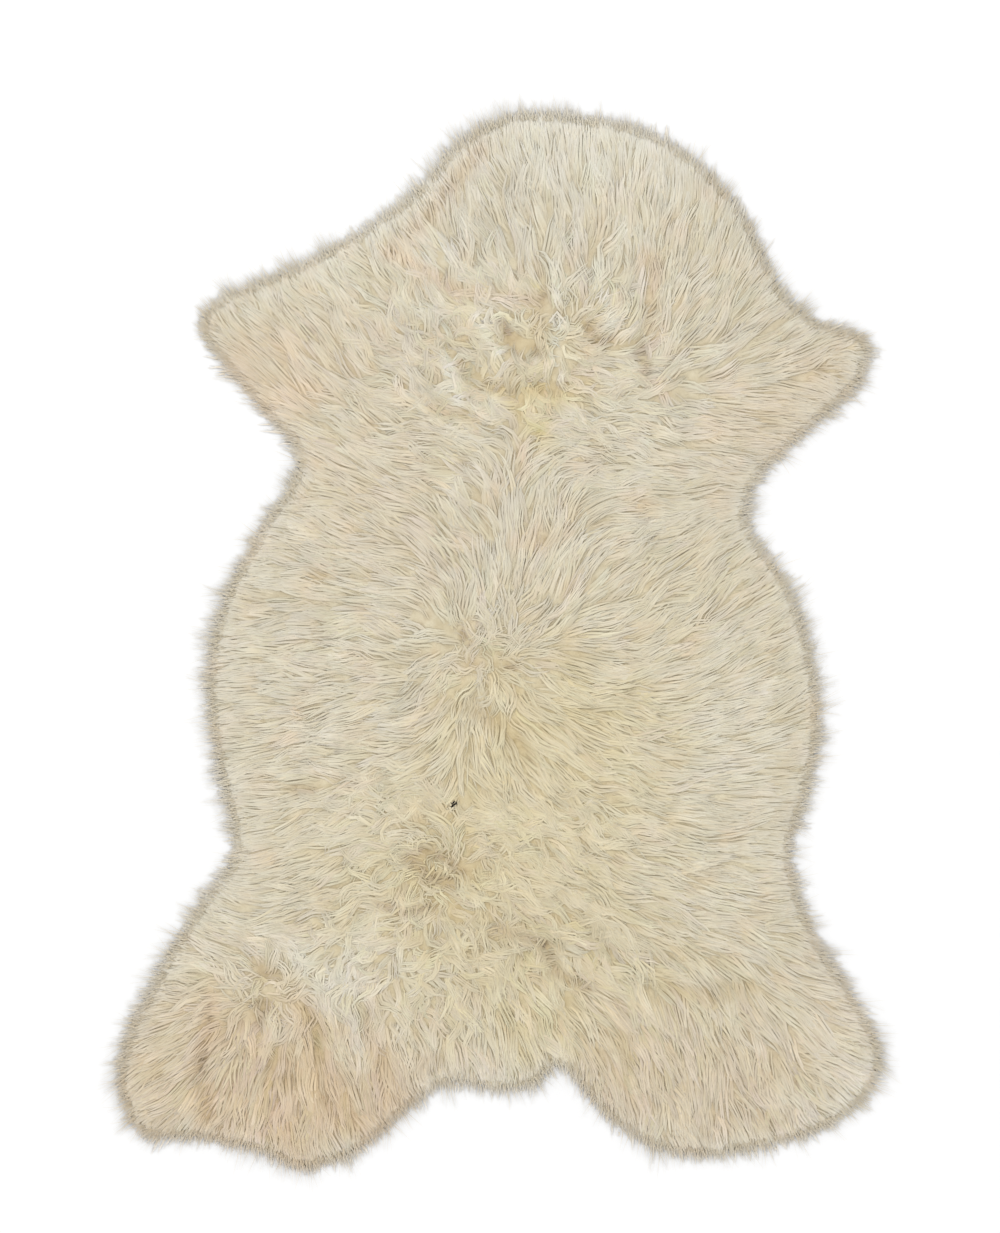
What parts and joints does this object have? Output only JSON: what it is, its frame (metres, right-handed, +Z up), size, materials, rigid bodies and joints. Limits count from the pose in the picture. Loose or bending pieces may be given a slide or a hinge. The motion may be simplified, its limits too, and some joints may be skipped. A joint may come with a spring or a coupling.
{
  "type": "sheepskin",
  "caption": "Whole natural cream sheepskin rug in the animal's own outline, long soft wool over a thin hide, lying flat.",
  "frame": {"origin": "middle of the footprint, on the ground under the hide", "axes": "+Z up out of the wool, +Y along the back towards the neck, +X across the pelt to the right as seen from above with the neck away from the viewer"},
  "size_m": [0.7698, 1.0658, 0.0443],
  "materials": {
    "wool": "long natural cream wool, soft and matt"
  },
  "bodies": {
    "root": {"sheepskin": "wool"}
  },
  "joints": []
}
